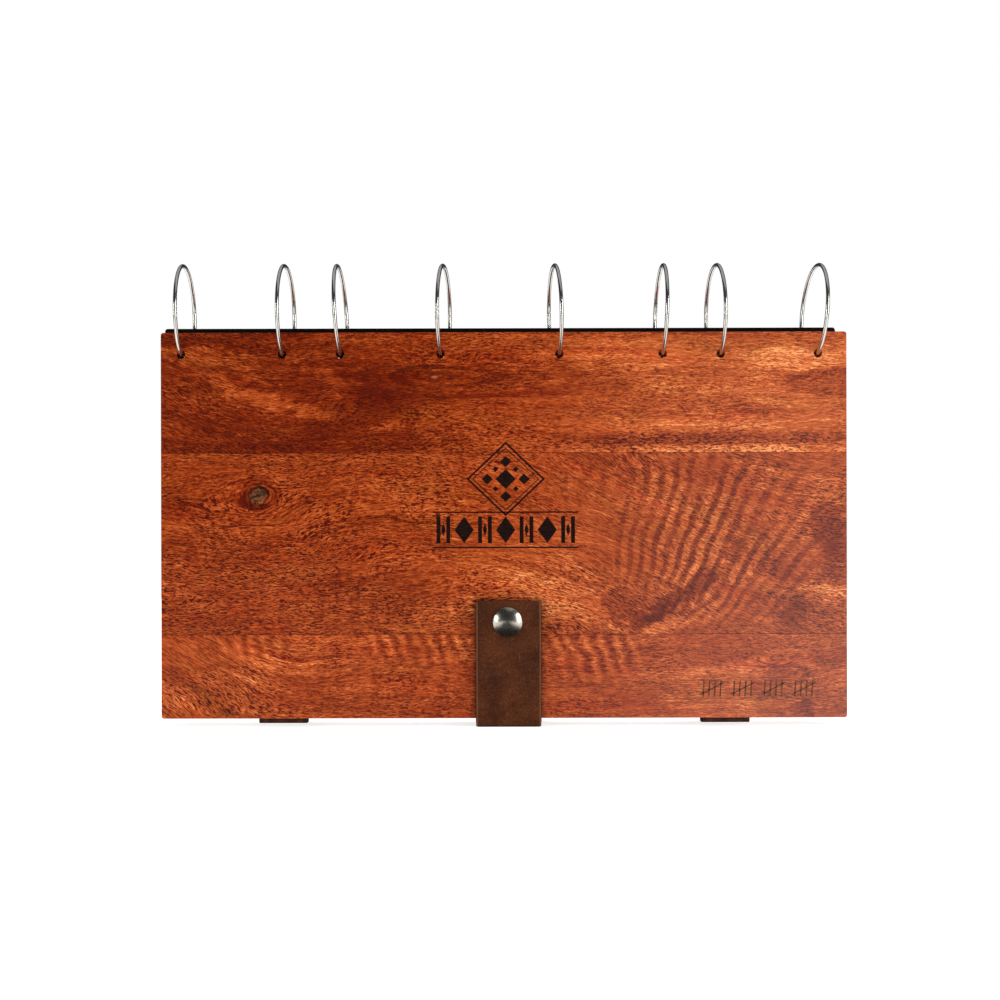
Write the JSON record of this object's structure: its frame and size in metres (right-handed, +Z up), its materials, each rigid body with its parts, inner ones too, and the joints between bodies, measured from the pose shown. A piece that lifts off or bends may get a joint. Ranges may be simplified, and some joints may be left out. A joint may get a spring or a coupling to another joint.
{
  "type": "flip scoreboard",
  "caption": "Ring-bound flip scoreboard: two hardwood covers with four columns of number cards on wire rings, shut by a leather snap strap.",
  "frame": {"origin": "bottom centre of the object's box: on the table, under the middle of the closed board", "axes": "+X to the user's right, -Y towards the user so that the front cover faces -Y, +Z up"},
  "size_m": [0.3518, 0.052, 0.2381],
  "materials": {
    "cover_wood": "oiled red-brown hardwood, pores and curly figure, satin",
    "ring_steel": "bright nickel-plated wire",
    "snap_metal": "polished nickel",
    "screw_steel": "zinc-plated",
    "strap_leather": "dark brown oiled leather, satin",
    "feet_rubber": "matt black",
    "card_plastic": "satin laminated card, printed numerals"
  },
  "bodies": {
    "rear_cover": {"rear_cover_bottom_stave": "cover_wood", "rear_cover_middle_stave": "cover_wood", "rear_cover_top_stave": "cover_wood", "rear_feet": "feet_rubber", "strap_back_run": "strap_leather", "strap_screws": "screw_steel"},
    "front_cover": {"front_cover_bottom_stave": "cover_wood", "front_cover_middle_stave": "cover_wood", "front_cover_top_stave": "cover_wood", "rings_left_tens": "ring_steel", "rings_left_ones": "ring_steel", "rings_right_tens": "ring_steel", "rings_right_ones": "ring_steel", "front_feet": "feet_rubber", "snap_stud": "snap_metal"},
    "strap_flap": {"strap_flap": "strap_leather", "snap_cap": "snap_metal", "snap_socket": "snap_metal"},
    "card_left_tens_0": {"card_left_tens_0": "card_plastic"},
    "card_left_tens_1": {"card_left_tens_1": "card_plastic"},
    "card_left_tens_2": {"card_left_tens_2": "card_plastic"},
    "card_left_tens_3": {"card_left_tens_3": "card_plastic"},
    "card_left_tens_4": {"card_left_tens_4": "card_plastic"},
    "card_left_tens_5": {"card_left_tens_5": "card_plastic"},
    "card_left_tens_6": {"card_left_tens_6": "card_plastic"},
    "card_left_tens_7": {"card_left_tens_7": "card_plastic"},
    "card_left_tens_8": {"card_left_tens_8": "card_plastic"},
    "card_left_tens_9": {"card_left_tens_9": "card_plastic"},
    "card_left_ones_0": {"card_left_ones_0": "card_plastic"},
    "card_left_ones_1": {"card_left_ones_1": "card_plastic"},
    "card_left_ones_2": {"card_left_ones_2": "card_plastic"},
    "card_left_ones_3": {"card_left_ones_3": "card_plastic"},
    "card_left_ones_4": {"card_left_ones_4": "card_plastic"},
    "card_left_ones_5": {"card_left_ones_5": "card_plastic"},
    "card_left_ones_6": {"card_left_ones_6": "card_plastic"},
    "card_left_ones_7": {"card_left_ones_7": "card_plastic"},
    "card_left_ones_8": {"card_left_ones_8": "card_plastic"},
    "card_left_ones_9": {"card_left_ones_9": "card_plastic"},
    "card_right_tens_0": {"card_right_tens_0": "card_plastic"},
    "card_right_tens_1": {"card_right_tens_1": "card_plastic"},
    "card_right_tens_2": {"card_right_tens_2": "card_plastic"},
    "card_right_tens_3": {"card_right_tens_3": "card_plastic"},
    "card_right_tens_4": {"card_right_tens_4": "card_plastic"},
    "card_right_tens_5": {"card_right_tens_5": "card_plastic"},
    "card_right_tens_6": {"card_right_tens_6": "card_plastic"},
    "card_right_tens_7": {"card_right_tens_7": "card_plastic"},
    "card_right_tens_8": {"card_right_tens_8": "card_plastic"},
    "card_right_tens_9": {"card_right_tens_9": "card_plastic"},
    "card_right_ones_0": {"card_right_ones_0": "card_plastic"},
    "card_right_ones_1": {"card_right_ones_1": "card_plastic"},
    "card_right_ones_2": {"card_right_ones_2": "card_plastic"},
    "card_right_ones_3": {"card_right_ones_3": "card_plastic"},
    "card_right_ones_4": {"card_right_ones_4": "card_plastic"},
    "card_right_ones_5": {"card_right_ones_5": "card_plastic"},
    "card_right_ones_6": {"card_right_ones_6": "card_plastic"},
    "card_right_ones_7": {"card_right_ones_7": "card_plastic"},
    "card_right_ones_8": {"card_right_ones_8": "card_plastic"},
    "card_right_ones_9": {"card_right_ones_9": "card_plastic"}
  },
  "joints": [
    {"name": "front_cover_swing", "type": "hinge", "parent": "rear_cover", "child": "front_cover", "pos_m": [0, 0, 0.2121], "axis": [-1, 0, 0], "range_deg": [0, 254]},
    {"name": "strap_flap_fold", "type": "hinge", "parent": "rear_cover", "child": "strap_flap", "pos_m": [0.0031, -0.0113, 0.004], "axis": [1, 0, 0], "range_deg": [0, 88], "deforming": ["strap_flap", "snap_cap", "snap_socket"]},
    {"name": "card_left_tens_0_turn", "type": "hinge", "parent": "rear_cover", "child": "card_left_tens_0", "pos_m": [0, 0, 0.2121], "axis": [-1, 0, 0], "range_deg": [0, 250.69]},
    {"name": "card_left_tens_1_turn", "type": "hinge", "parent": "rear_cover", "child": "card_left_tens_1", "pos_m": [0, 0, 0.2121], "axis": [-1, 0, 0], "range_deg": [0, 247.13]},
    {"name": "card_left_tens_2_turn", "type": "hinge", "parent": "rear_cover", "child": "card_left_tens_2", "pos_m": [0, 0, 0.2121], "axis": [-1, 0, 0], "range_deg": [0, 8.12]},
    {"name": "card_left_tens_3_turn", "type": "hinge", "parent": "rear_cover", "child": "card_left_tens_3", "pos_m": [0, 0, 0.2121], "axis": [-1, 0, 0], "range_deg": [0, 7.54]},
    {"name": "card_left_tens_4_turn", "type": "hinge", "parent": "rear_cover", "child": "card_left_tens_4", "pos_m": [0, 0, 0.2121], "axis": [-1, 0, 0], "range_deg": [0, 6.95]},
    {"name": "card_left_tens_5_turn", "type": "hinge", "parent": "rear_cover", "child": "card_left_tens_5", "pos_m": [0, 0, 0.2121], "axis": [-1, 0, 0], "range_deg": [0, 6.37]},
    {"name": "card_left_tens_6_turn", "type": "hinge", "parent": "rear_cover", "child": "card_left_tens_6", "pos_m": [0, 0, 0.2121], "axis": [-1, 0, 0], "range_deg": [0, 5.76]},
    {"name": "card_left_tens_7_turn", "type": "hinge", "parent": "rear_cover", "child": "card_left_tens_7", "pos_m": [0, 0, 0.2121], "axis": [-1, 0, 0], "range_deg": [0, 5.17]},
    {"name": "card_left_tens_8_turn", "type": "hinge", "parent": "rear_cover", "child": "card_left_tens_8", "pos_m": [0, 0, 0.2121], "axis": [-1, 0, 0], "range_deg": [0, 4.59]},
    {"name": "card_left_tens_9_turn", "type": "hinge", "parent": "rear_cover", "child": "card_left_tens_9", "pos_m": [0, 0, 0.2121], "axis": [-1, 0, 0], "range_deg": [0, 4.01]},
    {"name": "card_left_ones_0_turn", "type": "hinge", "parent": "rear_cover", "child": "card_left_ones_0", "pos_m": [0, 0, 0.2121], "axis": [-1, 0, 0], "range_deg": [0, 250.69]},
    {"name": "card_left_ones_1_turn", "type": "hinge", "parent": "rear_cover", "child": "card_left_ones_1", "pos_m": [0, 0, 0.2121], "axis": [-1, 0, 0], "range_deg": [0, 8.12]},
    {"name": "card_left_ones_2_turn", "type": "hinge", "parent": "rear_cover", "child": "card_left_ones_2", "pos_m": [0, 0, 0.2121], "axis": [-1, 0, 0], "range_deg": [0, 7.61]},
    {"name": "card_left_ones_3_turn", "type": "hinge", "parent": "rear_cover", "child": "card_left_ones_3", "pos_m": [0, 0, 0.2121], "axis": [-1, 0, 0], "range_deg": [0, 7.08]},
    {"name": "card_left_ones_4_turn", "type": "hinge", "parent": "rear_cover", "child": "card_left_ones_4", "pos_m": [0, 0, 0.2121], "axis": [-1, 0, 0], "range_deg": [0, 6.57]},
    {"name": "card_left_ones_5_turn", "type": "hinge", "parent": "rear_cover", "child": "card_left_ones_5", "pos_m": [0, 0, 0.2121], "axis": [-1, 0, 0], "range_deg": [0, 6.06]},
    {"name": "card_left_ones_6_turn", "type": "hinge", "parent": "rear_cover", "child": "card_left_ones_6", "pos_m": [0, 0, 0.2121], "axis": [-1, 0, 0], "range_deg": [0, 5.55]},
    {"name": "card_left_ones_7_turn", "type": "hinge", "parent": "rear_cover", "child": "card_left_ones_7", "pos_m": [0, 0, 0.2121], "axis": [-1, 0, 0], "range_deg": [0, 5.02]},
    {"name": "card_left_ones_8_turn", "type": "hinge", "parent": "rear_cover", "child": "card_left_ones_8", "pos_m": [0, 0, 0.2121], "axis": [-1, 0, 0], "range_deg": [0, 4.51]},
    {"name": "card_left_ones_9_turn", "type": "hinge", "parent": "rear_cover", "child": "card_left_ones_9", "pos_m": [0, 0, 0.2121], "axis": [-1, 0, 0], "range_deg": [0, 4.01]},
    {"name": "card_right_tens_0_turn", "type": "hinge", "parent": "rear_cover", "child": "card_right_tens_0", "pos_m": [0, 0, 0.2121], "axis": [-1, 0, 0], "range_deg": [0, 250.69]},
    {"name": "card_right_tens_1_turn", "type": "hinge", "parent": "rear_cover", "child": "card_right_tens_1", "pos_m": [0, 0, 0.2121], "axis": [-1, 0, 0], "range_deg": [0, 8.12]},
    {"name": "card_right_tens_2_turn", "type": "hinge", "parent": "rear_cover", "child": "card_right_tens_2", "pos_m": [0, 0, 0.2121], "axis": [-1, 0, 0], "range_deg": [0, 7.61]},
    {"name": "card_right_tens_3_turn", "type": "hinge", "parent": "rear_cover", "child": "card_right_tens_3", "pos_m": [0, 0, 0.2121], "axis": [-1, 0, 0], "range_deg": [0, 7.08]},
    {"name": "card_right_tens_4_turn", "type": "hinge", "parent": "rear_cover", "child": "card_right_tens_4", "pos_m": [0, 0, 0.2121], "axis": [-1, 0, 0], "range_deg": [0, 6.57]},
    {"name": "card_right_tens_5_turn", "type": "hinge", "parent": "rear_cover", "child": "card_right_tens_5", "pos_m": [0, 0, 0.2121], "axis": [-1, 0, 0], "range_deg": [0, 6.06]},
    {"name": "card_right_tens_6_turn", "type": "hinge", "parent": "rear_cover", "child": "card_right_tens_6", "pos_m": [0, 0, 0.2121], "axis": [-1, 0, 0], "range_deg": [0, 5.55]},
    {"name": "card_right_tens_7_turn", "type": "hinge", "parent": "rear_cover", "child": "card_right_tens_7", "pos_m": [0, 0, 0.2121], "axis": [-1, 0, 0], "range_deg": [0, 5.02]},
    {"name": "card_right_tens_8_turn", "type": "hinge", "parent": "rear_cover", "child": "card_right_tens_8", "pos_m": [0, 0, 0.2121], "axis": [-1, 0, 0], "range_deg": [0, 4.51]},
    {"name": "card_right_tens_9_turn", "type": "hinge", "parent": "rear_cover", "child": "card_right_tens_9", "pos_m": [0, 0, 0.2121], "axis": [-1, 0, 0], "range_deg": [0, 4.01]},
    {"name": "card_right_ones_0_turn", "type": "hinge", "parent": "rear_cover", "child": "card_right_ones_0", "pos_m": [0, 0, 0.2121], "axis": [-1, 0, 0], "range_deg": [0, 250.69]},
    {"name": "card_right_ones_1_turn", "type": "hinge", "parent": "rear_cover", "child": "card_right_ones_1", "pos_m": [0, 0, 0.2121], "axis": [-1, 0, 0], "range_deg": [0, 247.13]},
    {"name": "card_right_ones_2_turn", "type": "hinge", "parent": "rear_cover", "child": "card_right_ones_2", "pos_m": [0, 0, 0.2121], "axis": [-1, 0, 0], "range_deg": [0, 243.58]},
    {"name": "card_right_ones_3_turn", "type": "hinge", "parent": "rear_cover", "child": "card_right_ones_3", "pos_m": [0, 0, 0.2121], "axis": [-1, 0, 0], "range_deg": [0, 240.02]},
    {"name": "card_right_ones_4_turn", "type": "hinge", "parent": "rear_cover", "child": "card_right_ones_4", "pos_m": [0, 0, 0.2121], "axis": [-1, 0, 0], "range_deg": [0, 236.47]},
    {"name": "card_right_ones_5_turn", "type": "hinge", "parent": "rear_cover", "child": "card_right_ones_5", "pos_m": [0, 0, 0.2121], "axis": [-1, 0, 0], "range_deg": [0, 232.91]},
    {"name": "card_right_ones_6_turn", "type": "hinge", "parent": "rear_cover", "child": "card_right_ones_6", "pos_m": [0, 0, 0.2121], "axis": [-1, 0, 0], "range_deg": [0, 229.35]},
    {"name": "card_right_ones_7_turn", "type": "hinge", "parent": "rear_cover", "child": "card_right_ones_7", "pos_m": [0, 0, 0.2121], "axis": [-1, 0, 0], "range_deg": [0, 8.12]},
    {"name": "card_right_ones_8_turn", "type": "hinge", "parent": "rear_cover", "child": "card_right_ones_8", "pos_m": [0, 0, 0.2121], "axis": [-1, 0, 0], "range_deg": [0, 6.06]},
    {"name": "card_right_ones_9_turn", "type": "hinge", "parent": "rear_cover", "child": "card_right_ones_9", "pos_m": [0, 0, 0.2121], "axis": [-1, 0, 0], "range_deg": [0, 4.01]}
  ],
  "couplings": [
    {"joint": "card_left_tens_0_turn", "follows": "front_cover_swing", "ratio": 0.985},
    {"joint": "card_left_tens_1_turn", "follows": "front_cover_swing", "ratio": 0.971},
    {"joint": "card_left_tens_2_turn", "follows": "front_cover_swing", "ratio": 0.03},
    {"joint": "card_left_tens_3_turn", "follows": "front_cover_swing", "ratio": 0.0277},
    {"joint": "card_left_tens_4_turn", "follows": "front_cover_swing", "ratio": 0.0254},
    {"joint": "card_left_tens_5_turn", "follows": "front_cover_swing", "ratio": 0.0231},
    {"joint": "card_left_tens_6_turn", "follows": "front_cover_swing", "ratio": 0.0207},
    {"joint": "card_left_tens_7_turn", "follows": "front_cover_swing", "ratio": 0.0184},
    {"joint": "card_left_tens_8_turn", "follows": "front_cover_swing", "ratio": 0.0161},
    {"joint": "card_left_tens_9_turn", "follows": "front_cover_swing", "ratio": 0.0138},
    {"joint": "card_left_ones_0_turn", "follows": "front_cover_swing", "ratio": 0.985},
    {"joint": "card_left_ones_1_turn", "follows": "front_cover_swing", "ratio": 0.03},
    {"joint": "card_left_ones_2_turn", "follows": "front_cover_swing", "ratio": 0.028},
    {"joint": "card_left_ones_3_turn", "follows": "front_cover_swing", "ratio": 0.0259},
    {"joint": "card_left_ones_4_turn", "follows": "front_cover_swing", "ratio": 0.0239},
    {"joint": "card_left_ones_5_turn", "follows": "front_cover_swing", "ratio": 0.0219},
    {"joint": "card_left_ones_6_turn", "follows": "front_cover_swing", "ratio": 0.0199},
    {"joint": "card_left_ones_7_turn", "follows": "front_cover_swing", "ratio": 0.0178},
    {"joint": "card_left_ones_8_turn", "follows": "front_cover_swing", "ratio": 0.0158},
    {"joint": "card_left_ones_9_turn", "follows": "front_cover_swing", "ratio": 0.0138},
    {"joint": "card_right_tens_0_turn", "follows": "front_cover_swing", "ratio": 0.985},
    {"joint": "card_right_tens_1_turn", "follows": "front_cover_swing", "ratio": 0.03},
    {"joint": "card_right_tens_2_turn", "follows": "front_cover_swing", "ratio": 0.028},
    {"joint": "card_right_tens_3_turn", "follows": "front_cover_swing", "ratio": 0.0259},
    {"joint": "card_right_tens_4_turn", "follows": "front_cover_swing", "ratio": 0.0239},
    {"joint": "card_right_tens_5_turn", "follows": "front_cover_swing", "ratio": 0.0219},
    {"joint": "card_right_tens_6_turn", "follows": "front_cover_swing", "ratio": 0.0199},
    {"joint": "card_right_tens_7_turn", "follows": "front_cover_swing", "ratio": 0.0178},
    {"joint": "card_right_tens_8_turn", "follows": "front_cover_swing", "ratio": 0.0158},
    {"joint": "card_right_tens_9_turn", "follows": "front_cover_swing", "ratio": 0.0138},
    {"joint": "card_right_ones_0_turn", "follows": "front_cover_swing", "ratio": 0.985},
    {"joint": "card_right_ones_1_turn", "follows": "front_cover_swing", "ratio": 0.971},
    {"joint": "card_right_ones_2_turn", "follows": "front_cover_swing", "ratio": 0.957},
    {"joint": "card_right_ones_3_turn", "follows": "front_cover_swing", "ratio": 0.943},
    {"joint": "card_right_ones_4_turn", "follows": "front_cover_swing", "ratio": 0.929},
    {"joint": "card_right_ones_5_turn", "follows": "front_cover_swing", "ratio": 0.915},
    {"joint": "card_right_ones_6_turn", "follows": "front_cover_swing", "ratio": 0.901},
    {"joint": "card_right_ones_7_turn", "follows": "front_cover_swing", "ratio": 0.03},
    {"joint": "card_right_ones_8_turn", "follows": "front_cover_swing", "ratio": 0.0219},
    {"joint": "card_right_ones_9_turn", "follows": "front_cover_swing", "ratio": 0.0138}
  ]
}
